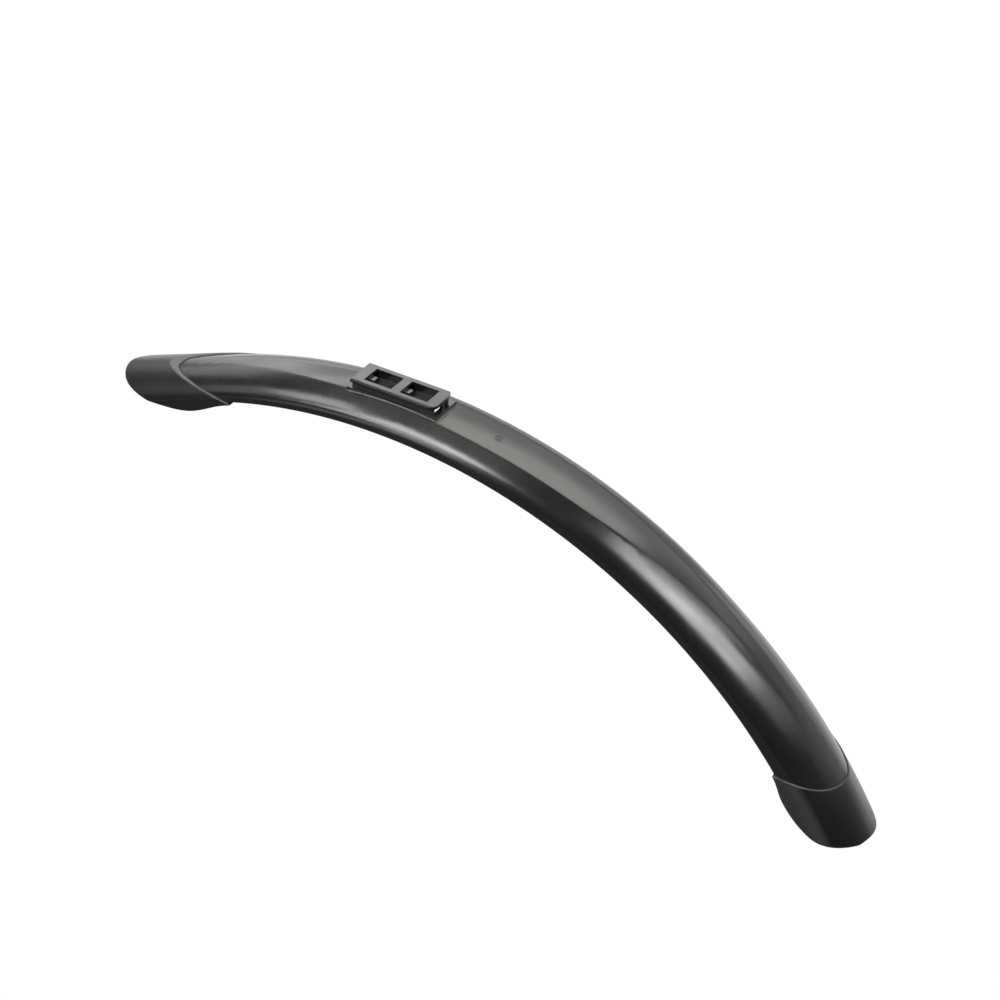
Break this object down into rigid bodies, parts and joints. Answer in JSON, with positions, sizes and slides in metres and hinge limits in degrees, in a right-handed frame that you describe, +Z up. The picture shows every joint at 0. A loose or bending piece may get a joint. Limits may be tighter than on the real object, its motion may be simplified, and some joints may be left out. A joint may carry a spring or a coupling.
{
  "type": "bicycle mudguard",
  "caption": "Short arched front mudguard blade with creased crown, deep skirts, a slide rail on top for the fork and soft rubber flaps on its front and rear ends.",
  "frame": {"origin": "middle of the slide rail's flat top face, on the guard's middle plane", "axes": "+X back along the guard, +Y across it to the left of travel, +Z up out of the rail's top face"},
  "size_m": [0.5426, 0.0622, 0.1947],
  "materials": {
    "blade_plastic": "satin black moulded polypropylene",
    "flap_rubber": "matt black moulded soft rubber"
  },
  "bodies": {
    "root": {"blade": "blade_plastic", "front_flap": "flap_rubber", "rear_flap": "flap_rubber"}
  },
  "joints": []
}
